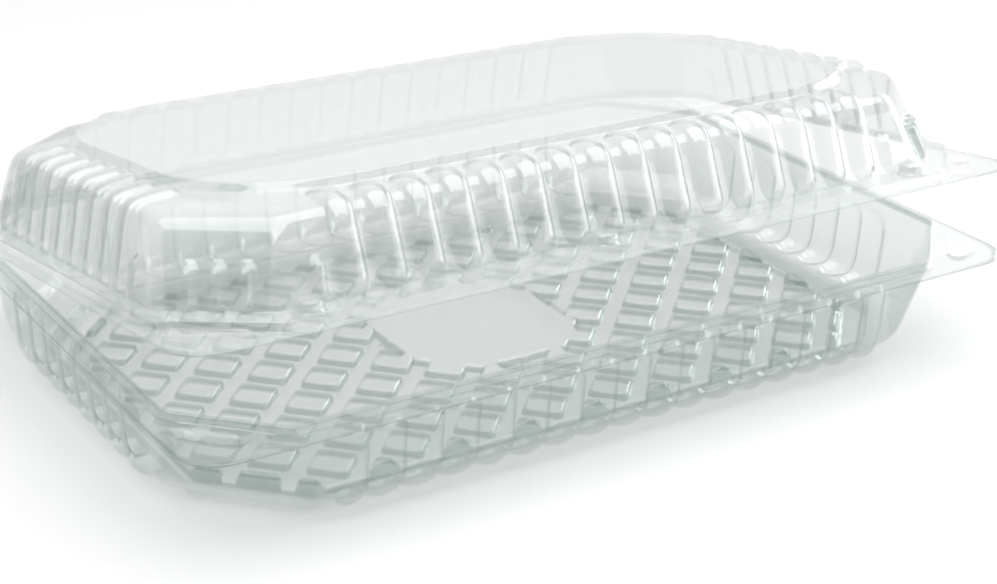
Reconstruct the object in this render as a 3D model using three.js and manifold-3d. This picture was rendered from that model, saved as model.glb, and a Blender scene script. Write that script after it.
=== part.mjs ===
// A clear hinged food container of formed sheet, with its lid standing a little open.
// Millimetres, +Z up. The long sides run along X and the hinge is at the back, along +Y.
import * as THREE from 'three';
import Module from 'manifold-3d';

// One unit is half the pitch of the diamond pattern on the floor, and every length below is in units.
const UNIT = 11;
const SHEET = 0.8 / UNIT;
const OPEN_DEG = 8.5;

// The lip, the same for both halves
const LIP_X = 11.87;
const LIP_Y = 7.96;
const LIP_R = 1.0;
const LIP_Z = 2.27;
const BEAD_Z = 0.2;

// The tray
const PAD_HALF = 0.633;
const PAD_SPREAD = 0.1;
const GROOVE = 0.27;
const MOAT = 0.4;
const FIELD = { x: 9.75, y: 5.62, k: 13.5 };
const MARK = { x: 2.5, y: 2.5, k: 3.8 };
const FLUTE_X = { pitch: 0.972, count: 15, end: 0.75 };
const FLUTE_Y = { pitch: 0.94, count: 8, end: 0 };
const FLUTE_DEEP = 0.2;

// The lid
const RIB_X = { pitch: 0.977, count: 16, wide: 0.66 };
const RIB_Y = { pitch: 0.9, count: 8, wide: 0.6 };
const RIB_DEEP = 0.24;
const RIB_TOP = 0.1;
const STUB_TOP = 1.3;
const SHOULDER = 2.215;
const PANEL = { x: 9.62, y: 5.42, r: 3.3, z: 2.6 };

// The knobs on the lid's front lip and the gaps in the tray's bead under them
const KNOBS = [-8.65, -0.977, 8.65];
const KNOB = { r: 0.34, high: 0.5, y: 7.2 };

// The hinge line and the half of the slit that each lip keeps to it
const HINGE_Y = LIP_Y + 0.045;
const CLOSED_GAP = 0.3 / UNIT;

const CORNER_R = 0.5;
const TAN = Math.tan(Math.PI / 8);

/** Stations along one straight side, each with its place and how far out its bump stands. */
function fluteStations({ pitch, count, end }) {
  const list = [];
  const first = (-count / 2) * pitch;
  const last = -first;
  if (end > 0) list.push({ at: first - end, bump: 0 }, { at: first - end / 2, bump: 0.8 });
  for (let k = 0; k < count; k += 1) {
    const start = first + k * pitch;
    list.push({ at: start, bump: 0 });
    list.push({ at: start + pitch * 0.3, bump: 0.9 });
    list.push({ at: start + pitch * 0.7, bump: 0.9 });
  }
  list.push({ at: last, bump: 0 });
  if (end > 0) list.push({ at: last + end / 2, bump: 0.8 }, { at: last + end, bump: 0 });
  return list;
}

/** The same for the lid's narrower ribs, with one short rib at each end of the row. */
function ribStations({ pitch, count, wide }) {
  const rib = (mid, half) => [
    { at: mid - half, bump: 0 },
    { at: mid - half * 0.45, bump: 1 },
    { at: mid + half * 0.45, bump: 1 },
    { at: mid + half, bump: 0 },
  ];
  const list = [];
  const reach = ((count - 1) / 2) * pitch + wide / 2;
  const stub = (sign) => [0.2, 0.32, 0.52, 0.64].map((f, i) => (
    { beyond: f, sign, reach, bump: 0, stub: i === 1 || i === 2 ? 1 : 0 }));
  list.push(...stub(-1).reverse());
  for (let k = 0; k < count; k += 1) list.push(...rib((k - (count - 1) / 2) * pitch, wide / 2));
  list.push(...stub(1));
  return list;
}

/** Stations round one cut corner: from the end of one side, over both soft edges, to the other. */
function cornerStations(stubs) {
  const list = [{ g: 0, t: 0 }, { g: 0, t: 0.5 }, { g: 0, t: 1 }];
  const places = stubs ? [-0.65, 0, 0.65] : [];
  for (const mid of places) {
    list.push({ s: mid - 0.22 }, { s: mid - 0.12, stub: 1 }, { s: mid + 0.12, stub: 1 }, { s: mid + 0.22 });
  }
  if (!stubs) list.push({ s: 0 });
  list.push({ g: 1, t: 0 }, { g: 1, t: 0.5 }, { g: 1, t: 1 });
  return list.map((one, i) => ({ ...one, share: i / (list.length - 1) }));
}

/** All stations of one closed ring, counter-clockwise from above, starting on the front side. */
function perimeter(long, short, stubs) {
  const ring = [];
  const sides = [long, short, long, short];
  sides.forEach((list, q) => {
    for (const one of list) ring.push({ ...one, side: q });
    for (const one of cornerStations(stubs)) ring.push({ ...one, corner: q });
  });
  return ring;
}

// Each quarter turn has its own forward and outward directions
const ALONG = [[1, 0], [0, 1], [-1, 0], [0, -1]];
const OUT = [[0, -1], [1, 0], [0, 1], [-1, 0]];

const mix = (a, b, t) => a + (b - a) * t;

/** Half-length along a side and its distance from the middle, for the side's quarter. */
function sizes(ring, q) {
  return q % 2 === 0 ? { half: ring.x, far: ring.y } : { half: ring.y, far: ring.x };
}

/** A point from its place along a quarter's side and its distance out. */
function place(q, along, out) {
  return [ALONG[q][0] * along + OUT[q][0] * out, ALONG[q][1] * along + OUT[q][1] * out];
}

/** Where a straight side ends on a ring with cut corners, before its soft edge. */
function sideEnd(ring, q) {
  const { far } = sizes(ring, q);
  const k = ring.k ?? ring.like.k;
  const base = ring.k ? far : sizes(ring.like, q).far;
  return k - base - CORNER_R * TAN;
}

/** Distance from the middle to a rounded outline at a place along the side. */
function roundedFar(ring, q, along) {
  const { half, far } = sizes(ring, q);
  const over = Math.abs(along) - (half - ring.r);
  if (over <= 0) return far;
  return far - ring.r + Math.sqrt(Math.max(0, ring.r * ring.r - over * over));
}

/** The point and outward direction of one station on one ring. */
function stationPoint(ring, st) {
  if (st.side !== undefined) {
    const q = st.side;
    let along = st.at;
    if (st.beyond !== undefined) along = st.sign * mix(st.reach, sideEnd(ring, q), st.beyond);
    const far = ring.r ? roundedFar(ring, q, along) : sizes(ring, q).far;
    return { p: place(q, along, far), n: OUT[q] };
  }
  const q = st.corner;
  const next = (q + 1) % 4;
  const outline = ring.k ? ring : ring.like;
  const own = sizes(outline, q);
  const a = place(q, outline.k - own.far, own.far);
  const b = place(next, -(outline.k - own.half), own.half);
  const cut = [(b[0] - a[0]), (b[1] - a[1])];
  const long = Math.hypot(...cut);
  const dir = [cut[0] / long, cut[1] / long];
  const norm = [dir[1], -dir[0]];
  if (ring.r) {
    // A rounded outline shares the corner out evenly between the two side ends
    return roundedCorner(ring, q, st.share);
  }
  if (st.s !== undefined) {
    const mid = [(a[0] + b[0]) / 2, (a[1] + b[1]) / 2];
    return { p: [mid[0] + dir[0] * st.s, mid[1] + dir[1] * st.s], n: norm };
  }
  const at = st.g === 0 ? a : b;
  const into = st.g === 0 ? ALONG[q] : dir;
  const from = st.g === 0 ? dir : ALONG[next];
  const reach = CORNER_R * TAN;
  const n0 = st.g === 0 ? OUT[q] : norm;
  const n1 = st.g === 0 ? norm : OUT[next];
  const tang = st.t < 0.5 ? [-into[0], -into[1]] : from;
  const n = [mix(n0[0], n1[0], st.t), mix(n0[1], n1[1], st.t)];
  const size = Math.hypot(...n);
  const unit = [n[0] / size, n[1] / size];
  if (st.t === 0.5) {
    const sag = CORNER_R * (1 / Math.cos(Math.PI / 8) - 1);
    return { p: [at[0] - unit[0] * sag, at[1] - unit[1] * sag], n: unit };
  }
  return { p: [at[0] + tang[0] * reach, at[1] + tang[1] * reach], n: unit };
}

/** A point by share of length on a rounded corner, between the ends of the two straight sides. */
function roundedCorner(ring, q, share) {
  const next = (q + 1) % 4;
  const { half, far } = sizes(ring, q);
  const startAlong = sideEnd(ring, q);
  const endAlong = sideEnd(ring, next);
  const straight = Math.max(0, half - ring.r - startAlong);
  const straight2 = Math.max(0, far - ring.r - endAlong);
  const a0 = Math.asin(Math.min(1, Math.max(0, (startAlong - (half - ring.r)) / ring.r)));
  const a1 = Math.PI / 2 - Math.asin(Math.min(1, Math.max(0, (endAlong - (far - ring.r)) / ring.r)));
  const arc = (a1 - a0) * ring.r;
  const total = straight + arc + straight2;
  let s = share * total;
  if (s < straight) return { p: place(q, startAlong + s, far), n: OUT[q] };
  s -= straight;
  if (s <= arc) {
    const a = a0 + s / ring.r;
    const along = half - ring.r + ring.r * Math.sin(a);
    const out = far - ring.r + ring.r * Math.cos(a);
    return { p: place(q, along, out), n: place(q, Math.sin(a), Math.cos(a)) };
  }
  return { p: place(next, -(endAlong + straight2 - (s - arc)), half), n: OUT[next] };
}

/** Profile directions of the full rings: how far each one's surface normal points out and up. */
function profileNormals(rings, sense) {
  const full = rings.filter((ring) => ring.between === undefined);
  return rings.map((ring) => {
    const i = full.indexOf(ring);
    if (i < 0) return null;
    const a = full[Math.max(0, i - 1)];
    const b = full[Math.min(full.length - 1, i + 1)];
    const dOut = b.y - a.y;
    const dUp = b.z - a.z;
    const size = Math.hypot(dOut, dUp) || 1;
    return { out: (-dUp / size) * sense, up: (dOut / size) * sense };
  });
}

const mix3 = (a, b, t) => a.map((v, i) => mix(v, b[i], t));

/** One ring's stations: the plain place, the place with its bump, and the far face of the sheet. */
function fullRing(ring, normal, stations) {
  return stations.map((st) => {
    const { p, n } = stationPoint(ring, st);
    const dir = [n[0] * normal.out, n[1] * normal.out, normal.up];
    const lift = (st.bump ?? 0) * (ring.bump ?? 0) + (st.stub ?? 0) * (ring.stub ?? 0);
    const plain = [p[0], p[1], ring.z];
    const outer = plain.map((v, i) => v + dir[i] * lift);
    return { plain, dir, outer, inner: outer.map((v, i) => v - dir[i] * SHEET) };
  });
}

/** A ring part of the way between two full ones, with its own corners or short ribs where it has any. */
function betweenRing(ring, before, after, stations) {
  const t = ring.between;
  return stations.map((st, j) => {
    const a = before[j];
    const b = after[j];
    const dir = mix3(a.dir, b.dir, t);
    const plain = mix3(a.plain, b.plain, t);
    if (ring.k && st.corner !== undefined) {
      const own = stationPoint({ ...ring, x: ring.x, y: ring.y }, st);
      const outer = [own.p[0], own.p[1], plain[2]];
      return { plain: outer, dir, outer, inner: outer.map((v, i) => v - dir[i] * SHEET) };
    }
    if (st.stub) {
      const outer = plain.map((v, i) => v + dir[i] * st.stub * (ring.stub ?? 0));
      return { plain, dir, outer, inner: outer.map((v, i) => v - dir[i] * SHEET) };
    }
    return { plain, dir, outer: mix3(a.outer, b.outer, t), inner: mix3(a.inner, b.inner, t) };
  });
}

/** A closed sheet from rings that run from the lip inwards: downwards at sense 1, upwards at -1. */
function sheetGeometry(rings, stations, sense) {
  const normals = profileNormals(rings, sense);
  const n = stations.length;
  const made = rings.map((ring, i) => (normals[i] ? fullRing(ring, normals[i], stations) : null));
  rings.forEach((ring, i) => {
    if (normals[i]) return;
    let lo = i;
    let hi = i;
    while (!normals[lo]) lo -= 1;
    while (!normals[hi]) hi += 1;
    made[i] = betweenRing(ring, made[lo], made[hi], stations);
  });
  const top = made.flatMap((row) => row.map((one) => one.outer));
  const under = made.flatMap((row) => row.map((one) => one.inner));
  const points = [...top, ...under];
  const faces = [];
  const quad = (a, b, c, d) => faces.push([a, b, c], [a, c, d]);
  const m = top.length;
  for (let i = 0; i + 1 < rings.length; i += 1) {
    for (let j = 0; j < n; j += 1) {
      const k = (j + 1) % n;
      const a = i * n + j;
      const b = i * n + k;
      const c = (i + 1) * n + k;
      const d = (i + 1) * n + j;
      quad(a, d, c, b);
      quad(m + a, m + b, m + c, m + d);
    }
  }
  for (let j = 0; j < n; j += 1) {
    const k = (j + 1) % n;
    quad(j, k, m + k, m + j);
  }
  capRing(points, faces, (rings.length - 1) * n, n, true);
  capRing(points, faces, m + (rings.length - 1) * n, n, false);
  return meshSolid(points, faces);
}

/** Closes the innermost ring with flat triangles round its middle. */
function capRing(points, faces, start, n, reverse) {
  const middle = points.length;
  points.push([0.37, 0.21, points[start][2]]);
  for (let j = 0; j < n; j += 1) {
    const a = start + j;
    const b = start + ((j + 1) % n);
    faces.push(reverse ? [middle, b, a] : [middle, a, b]);
  }
}

const wasm = await Module();
wasm.setup();

/** A solid from points and faces, turned outwards when it came out inside out. */
function meshSolid(points, faces) {
  const volume = faces.reduce((sum, [a, b, c]) => {
    const [p, q, r] = [points[a], points[b], points[c]];
    return sum + (p[0] * (q[1] * r[2] - q[2] * r[1]) + p[1] * (q[2] * r[0] - q[0] * r[2])
      + p[2] * (q[0] * r[1] - q[1] * r[0])) / 6;
  }, 0);
  const order = volume < 0 ? faces.map(([a, b, c]) => [a, c, b]) : faces;
  return new wasm.Manifold(new wasm.Mesh({
    numProp: 3,
    vertProperties: new Float32Array(points.flat()),
    triVerts: new Uint32Array(order.flat()),
  }));
}

/** A flat-ended block between two outlines with the same number of corners. */
function loft(layers) {
  const n = layers[0].outline.length;
  const points = layers.flatMap(({ outline, z }) => outline.map(([x, y]) => [x, y, z]));
  const faces = [];
  for (let i = 0; i + 1 < layers.length; i += 1) {
    for (let j = 0; j < n; j += 1) {
      const k = (j + 1) % n;
      faces.push([i * n + j, i * n + k, (i + 1) * n + k], [i * n + j, (i + 1) * n + k, (i + 1) * n + j]);
    }
  }
  const top = (layers.length - 1) * n;
  for (let j = 1; j + 1 < n; j += 1) faces.push([0, j + 1, j], [top, top + j, top + j + 1]);
  return meshSolid(points, faces);
}

/** The eight corners of a rectangle with cut corners. */
function cutRect({ x, y, k }, grow = 0) {
  const hx = x + grow;
  const hy = y + grow;
  const kk = k + grow * Math.SQRT2;
  return [[hx, -(kk - hx)], [hx, kk - hx], [kk - hy, hy], [-(kk - hy), hy],
    [-hx, kk - hx], [-hx, -(kk - hx)], [-(kk - hy), -hy], [kk - hy, -hy]];
}

/** One diamond of the floor as an outline. */
function diamond(i, j, half) {
  return [[i + half, j], [i, j + half], [i - half, j], [i, j - half]];
}

/** Joins solids two by two, which keeps each join small. */
function joinAll(list) {
  let work = list;
  while (work.length > 1) {
    const next = [];
    for (let i = 0; i < work.length; i += 2) next.push(i + 1 < work.length ? work[i].add(work[i + 1]) : work[i]);
    work = next;
  }
  return work[0];
}

/** All pads of the floor's diamond pattern, grown or shrunk, between two heights. */
function pads(grow, low, high) {
  const list = [];
  for (let i = -9; i <= 9; i += 1) {
    for (let j = -5; j <= 5; j += 1) {
      const inMark = Math.abs(i) + Math.abs(j) < 3 && Math.abs(i) < 3;
      if ((i + j) % 2 === 0 && !inMark && Math.abs(i) + Math.abs(j) < 13) {
        list.push(loft([
          { outline: diamond(i, j, PAD_HALF + PAD_SPREAD + grow * Math.SQRT2), z: low },
          { outline: diamond(i, j, PAD_HALF + grow * Math.SQRT2), z: high },
        ]));
      }
    }
  }
  const field = loft([
    { outline: cutRect(FIELD, 0.06 + grow), z: low },
    { outline: cutRect(FIELD, grow), z: high + 0.001 },
  ]);
  const mark = loft([
    { outline: cutRect(MARK, 0.06 + grow), z: low },
    { outline: cutRect(MARK, grow), z: high },
  ]);
  return joinAll(list).intersect(field).add(mark);
}

/** The tray: a fluted wall between a moat round the patterned floor and a beaded lip. */
function buildTray() {
  const z = LIP_Z;
  const lip = { x: LIP_X, y: LIP_Y, r: LIP_R, z, like: { x: 11.42, y: 7.5, k: 16.8 } };
  const b = FLUTE_DEEP;
  const rings = [
    lip,
    { x: 11.42, y: 7.5, k: 16.8, z },
    { x: 11.38, y: 7.45, k: 16.76, z: z + BEAD_Z },
    { x: 11.33, y: 7.34, k: 16.7, z: z + BEAD_Z },
    { x: 11.28, y: 7.24, k: 16.66, z: z + 0.06 },
    { x: 11.27, y: 7.22, k: 16.66, z: 2.05 },
    { x: 11.26, y: 7.21, k: 16.65, z: 1.8, bump: b },
    { x: 11.21, y: 7.16, k: 16.5, between: 0.6 },
    { x: 11.17, y: 7.12, k: 15.85, z: 0.42, bump: b },
    { x: 11.0, y: 6.95, k: 15.4, z: 0.1, bump: b },
    { x: 10.4, y: 6.35, k: 14.7, z: 0.03, bump: b },
    { x: 10.25, y: 6.2, k: 14.45, z: -MOAT - SHEET },
    { x: 9.98, y: 5.85, k: 13.85, z: -MOAT - SHEET },
    { x: 9.86, y: 5.72, k: 13.68, z: -GROOVE - SHEET },
  ];
  const stations = perimeter(fluteStations(FLUTE_X), fluteStations(FLUTE_Y), false);
  const shell = sheetGeometry(rings, stations, 1).simplify(0.002);
  const raised = pads(0, -GROOVE - SHEET / 2, 0);
  const hollow = pads(-SHEET, -GROOVE - SHEET * 1.5, -SHEET);
  let tray = shell.add(raised).subtract(hollow);
  // The bead stops short in three places, where the knobs come down
  for (const x of KNOBS) {
    const box = (w, near, far, low, high) => loft([
      { outline: [[x - w, -far], [x + w, -far], [x + w, -near], [x - w, -near]], z: low },
      { outline: [[x - w, -far], [x + w, -far], [x + w, -near], [x - w, -near]], z: high },
    ]);
    tray = tray.add(box(0.45, 7.21, 7.62, z + 0.004, z + SHEET + 0.004));
    tray = tray.subtract(box(0.4, 7.3, 7.72, z + SHEET + 0.008, z + 0.5));
  }
  return tray;
}

/** The lid, drawn closed: a ribbed wall, a soft shoulder and a raised panel with round corners. */
function buildLid() {
  const d = RIB_DEEP;
  const t = RIB_TOP;
  const lip = { x: LIP_X, y: LIP_Y, r: LIP_R, z: SHEET, like: { x: 11.64, y: 7.71, k: 17.12 } };
  const like = { x: 10.69, y: 6.345, k: 14.945 };
  const rings = [
    lip,
    { x: 11.64, y: 7.71, k: 17.12, z: SHEET },
    { x: 11.59, y: 7.66, k: 17.05, z: 0.29 },
    { x: 11.2, y: 6.97, k: 16.2, z: 0.29 },
    { x: 11.18, y: 6.95, k: 16.17, z: 0.36 },
    { x: 11.16, y: 6.92, k: 16.1, z: 0.5, bump: d, stub: d },
    { between: (STUB_TOP - 0.68) / 1.38, stub: d },
    { between: (STUB_TOP - 0.5) / 1.38 },
    { x: 10.82, y: 6.5, k: 15.25, z: 1.88, bump: d },
    { x: 10.7, y: 6.36, k: 14.98, z: 2.15, bump: mix(d, t, 0.5) },
    { x: 10.45, y: 6.1, k: 14.6, z: SHOULDER + 0.05, bump: t },
    { x: PANEL.x + 0.14, y: PANEL.y + 0.18, r: PANEL.r + 0.1, z: PANEL.z - 0.26, bump: t * 0.6, like },
    { x: PANEL.x + 0.1, y: PANEL.y + 0.1, r: PANEL.r + 0.08, z: PANEL.z - 0.22, like },
    { x: PANEL.x, y: PANEL.y, r: PANEL.r, z: PANEL.z, like },
  ];
  const stations = perimeter(ribStations(RIB_X), ribStations(RIB_Y), true);
  let lid = sheetGeometry(rings, stations, -1).simplify(0.002);
  // A half-round knob stands at the foot of the wall in three places
  for (const x of KNOBS) lid = knob(lid, x);
  return lid;
}

/** Adds one hollow knob to the lid's front lip. */
function knob(lid, x) {
  const arc = (r) => Array.from({ length: 12 }, (_, i) => {
    const a = ((i + 0.5) / 12) * Math.PI * 2;
    return [x + Math.cos(a) * r, -KNOB.y + Math.sin(a) * r];
  });
  const body = loft([
    { outline: arc(KNOB.r), z: 0.235 },
    { outline: arc(KNOB.r), z: KNOB.high },
    { outline: arc(KNOB.r * 0.6), z: KNOB.high + 0.1 },
  ]);
  const core = loft([
    { outline: arc(KNOB.r - SHEET), z: -0.1 },
    { outline: arc(KNOB.r - SHEET), z: KNOB.high - SHEET / 2 },
    { outline: arc((KNOB.r - SHEET) * 0.6), z: KNOB.high + 0.1 - SHEET },
  ]);
  return lid.add(body).subtract(core);
}

/** The height of a triangle over its longest edge, and which edge that is. */
function slimness(points, tri) {
  const q = tri.map((v) => new THREE.Vector3(...points[v]));
  const edges = [0, 1, 2].map((i) => q[i].distanceTo(q[(i + 1) % 3]));
  const longest = edges.indexOf(Math.max(...edges));
  const area = q[1].clone().sub(q[0]).cross(q[2].clone().sub(q[0])).length() / 2;
  return { height: (2 * area) / edges[longest], longest };
}

/** Every vertex that shares an edge with this one. */
function neighbours(faces, v) {
  const near = new Set();
  for (const tri of faces) if (tri.includes(v)) tri.forEach((w) => near.add(w));
  near.delete(v);
  return near;
}

/** Closes the shortest edge of each sliver where that is short, and turns its longest edge where it isn't. */
function mendSlivers(points, faces) {
  const limit = 0.0008;
  const short = 0.03;
  for (let round = 0; round < 200; round += 1) {
    const f = faces.findIndex((tri) => !tri.kept && slimness(points, tri).height < limit);
    if (f < 0) return;
    const tri = faces[f];
    const { longest } = slimness(points, tri);
    const [a, b, c] = [tri[longest], tri[(longest + 1) % 3], tri[(longest + 2) % 3]];
    const toA = new THREE.Vector3(...points[a]).distanceTo(new THREE.Vector3(...points[c]));
    const toB = new THREE.Vector3(...points[b]).distanceTo(new THREE.Vector3(...points[c]));
    const end = toA < toB ? a : b;
    const nearC = neighbours(faces, c);
    const common = [...neighbours(faces, end)].filter((v) => nearC.has(v));
    const other = faces.findIndex((one) => one.some((v, i) => v === b && one[(i + 1) % 3] === a));
    const d = faces[other].find((v) => v !== a && v !== b);
    if (Math.min(toA, toB) < short && common.length === 2) {
      const left = faces.map((one) => one.map((v) => (v === c ? end : v))).filter((one) => new Set(one).size === 3);
      faces.splice(0, faces.length, ...left);
    } else if (!nearC.has(d)) {
      faces[f] = [c, a, d];
      faces[other] = [d, b, c];
    } else {
      tri.kept = true;
    }
  }
}

/** A three.js mesh of a solid, in millimetres. */
function toMesh(solid, name, material) {
  const got = solid.simplify(0.01).getMesh();
  const points = [];
  const faces = [];
  for (let i = 0; i < got.vertProperties.length; i += 3) points.push([...got.vertProperties.slice(i, i + 3)]);
  for (let i = 0; i < got.triVerts.length; i += 3) faces.push([...got.triVerts.slice(i, i + 3)]);
  mendSlivers(points, faces);
  const geometry = new THREE.BufferGeometry();
  const array = Float32Array.from(points.flat(), (v) => v * UNIT);
  geometry.setAttribute('position', new THREE.BufferAttribute(array, 3));
  geometry.setIndex(new THREE.BufferAttribute(Uint32Array.from(faces.flat()), 1));
  geometry.computeVertexNormals();
  const mesh = new THREE.Mesh(geometry, material);
  mesh.name = name;
  return mesh;
}

const clear = new THREE.MeshStandardMaterial({ color: 0xdfe8e6, roughness: 0.06, metalness: 0 });
clear.name = 'clear_sheet';
const container = new THREE.Group();
container.name = 'hinged_container';
const tray = toMesh(buildTray(), 'tray', clear);
const lid = toMesh(buildLid(), 'lid', clear);

// The lid turns on the hinge line, which lies level with the top of the tray's lip
const hinge = new THREE.Group();
hinge.name = 'hinge_line';
hinge.position.set(0, HINGE_Y * UNIT, (LIP_Z + SHEET + CLOSED_GAP / 2) * UNIT);
hinge.rotation.x = -THREE.MathUtils.degToRad(OPEN_DEG);
lid.position.set(0, -HINGE_Y * UNIT, (CLOSED_GAP / 2) * UNIT);
hinge.add(lid);
container.add(tray, hinge);

// The whole rests on its moat, with the middle of its outline over the origin
container.updateMatrixWorld(true);
const box = new THREE.Box3().setFromObject(container, true);
container.position.set(0, -(box.min.y + box.max.y) / 2, -box.min.z);
container.updateMatrixWorld(true);

export default container;
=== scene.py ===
"""A clear hinged food container of formed sheet, standing a little open in a white studio."""
import logging
import math
from dataclasses import dataclass, field
from enum import Enum
from typing import Callable, Sequence

import bmesh
import bpy
import numpy as np
from mathutils import Matrix, Vector


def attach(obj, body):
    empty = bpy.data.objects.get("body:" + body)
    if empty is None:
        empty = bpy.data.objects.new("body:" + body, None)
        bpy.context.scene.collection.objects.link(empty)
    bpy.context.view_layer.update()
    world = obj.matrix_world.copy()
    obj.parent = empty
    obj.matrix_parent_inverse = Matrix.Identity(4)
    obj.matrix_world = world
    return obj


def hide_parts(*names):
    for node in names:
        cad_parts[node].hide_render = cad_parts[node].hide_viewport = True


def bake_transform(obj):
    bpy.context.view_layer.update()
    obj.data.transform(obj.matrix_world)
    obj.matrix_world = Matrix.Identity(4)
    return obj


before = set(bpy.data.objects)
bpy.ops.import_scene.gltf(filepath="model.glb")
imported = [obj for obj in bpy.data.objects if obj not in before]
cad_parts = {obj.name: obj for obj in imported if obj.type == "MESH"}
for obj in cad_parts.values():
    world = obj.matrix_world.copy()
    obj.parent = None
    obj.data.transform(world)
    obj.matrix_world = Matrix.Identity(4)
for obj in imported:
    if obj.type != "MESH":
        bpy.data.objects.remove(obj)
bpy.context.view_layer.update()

LOG = logging.getLogger("container")

# Lengths are in units of half the floor pattern's pitch, and become metres at the end
UNIT_M = 0.011
SHIFT_M = (0.0, -0.00005117, 0.0052)
CAD_SHEET = 0.8 / 11
SHEET = 0.045

# The lip, the hinge and how far the lid stands open
LIP_Z = 2.27
HINGE_Y = 7.96 + 0.045
CLOSED_GAP = 0.3 / 11
OPEN_RAD = math.radians(-8.5)
KNOBS_X = (-8.65, -0.977, 8.65)

# The soft edge between a side and a cut corner
EDGE_R = 0.5
EDGE_TAN = math.tan(math.pi / 8)
BEND_SHARES = (0.25, 0.5, 0.75, 1.0)

# How deep the tint is on a sheet's cut rim, and the most that tint and painted shade may be anywhere; then
# the painted shade in creases, and the slope past which a wall gets its full painted shade
RIM_TINT = 0.7
TINT_LIMIT = 0.95
CREASE_PAINTED_SHADE = 0.5
STEEP_AT = 0.75

# Turn by length at which a crease starts to get painted shade, and how much more makes it full
CREASE_FROM = 5.0
CREASE_RANGE = 14.0
SHORTEST = 0.02

ALONG = np.array([[1, 0], [0, 1], [-1, 0], [0, -1]], float)
OUT = np.array([[0, -1], [1, 0], [0, 1], [-1, 0]], float)

Number = float | int


class Body(Enum):
    """The bodies of the frame that pieces ride on."""

    TRAY = "tray"
    LID = "lid"


def smooth(t: np.ndarray) -> np.ndarray:
    """Ease from 0 to 1 with level ends."""
    t = np.clip(t, 0.0, 1.0)
    return t * t * (3.0 - 2.0 * t)


def mix(a: float, b: float, t: float) -> float:
    """The value a share t of the way from a to b."""
    return a + (b - a) * t


class Socket:
    """A shader value on which sums, products and powers add Math nodes."""

    def __init__(self, tree: "ShaderTree", link: bpy.types.NodeSocket) -> None:
        """Keep the tree and the output that carries the value."""
        self.tree = tree
        self.link = link

    def _math(self, operation: str, a: "Socket | Number", b: "Socket | Number") -> "Socket":
        """Add one Math node.

        Args:
            operation: The node's operation.
            a: Its first value.
            b: Its second value.

        Returns:
            The node's value.
        """
        return self.tree.node("ShaderNodeMath", {"operation": operation}, {0: a, 1: b})

    def __add__(self, other: "Socket | Number") -> "Socket":
        """Sum."""
        return self._math("ADD", self, other)

    __radd__ = __add__

    def __sub__(self, other: "Socket | Number") -> "Socket":
        """Difference."""
        return self._math("SUBTRACT", self, other)

    def __rsub__(self, other: "Socket | Number") -> "Socket":
        """Difference from a number."""
        return self._math("SUBTRACT", other, self)

    def __mul__(self, other: "Socket | Number") -> "Socket":
        """Product."""
        return self._math("MULTIPLY", self, other)

    __rmul__ = __mul__

    def __pow__(self, other: "Socket | Number") -> "Socket":
        """Power."""
        return self._math("POWER", self, other)

    def clamped(self) -> "Socket":
        """The value held between 0 and 1."""
        return self.tree.node("ShaderNodeClamp", {}, {0: self})


class ShaderTree:
    """The node tree of one material or world."""

    def __init__(self, owner: "bpy.types.Material | bpy.types.World") -> None:
        """Empty the owner's tree and add its output."""
        owner.use_nodes = True
        self.nodes = owner.node_tree.nodes
        self.links = owner.node_tree.links
        self.nodes.clear()
        kind = "World" if isinstance(owner, bpy.types.World) else "Material"
        self.output = self.nodes.new(f"ShaderNodeOutput{kind}")

    def node(self, kind: str, settings: dict | None = None, values: dict | None = None,
             out: "int | str" = 0) -> Socket:
        """Add a node of any type.

        Args:
            kind: The node's type.
            settings: Its settings, such as an operation or a ramp's stops, which are set first.
            values: Numbers, colours or links by the name or number of an input.
            out: The output to return.

        Returns:
            The chosen output.
        """
        made = self.nodes.new(kind)
        for name, value in (settings or {}).items():
            if name == "stops":
                self._stops(made, value)
            else:
                setattr(made, name, value)
        for name, value in (values or {}).items():
            self.feed(made.inputs[name], value)
        return Socket(self, made.outputs[out])

    @staticmethod
    def _stops(ramp: bpy.types.Node, stops: Sequence[tuple[float, float]]) -> None:
        """Set a colour ramp's grey stops from pairs of place and value."""
        elements = ramp.color_ramp.elements
        while len(elements) < len(stops):
            elements.new(0.5)
        for element, (place, value) in zip(elements, stops):
            element.position = place
            element.color = (value, value, value, 1.0)

    def feed(self, entry: bpy.types.NodeSocket, value: "Socket | Number | Sequence[float]") -> None:
        """Link or set one input."""
        if isinstance(value, Socket):
            self.links.new(value.link, entry)
        else:
            entry.default_value = value

    def finish(self, surface: Socket) -> None:
        """Link the last shader to the output."""
        self.links.new(surface.link, self.output.inputs["Surface"])


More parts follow.
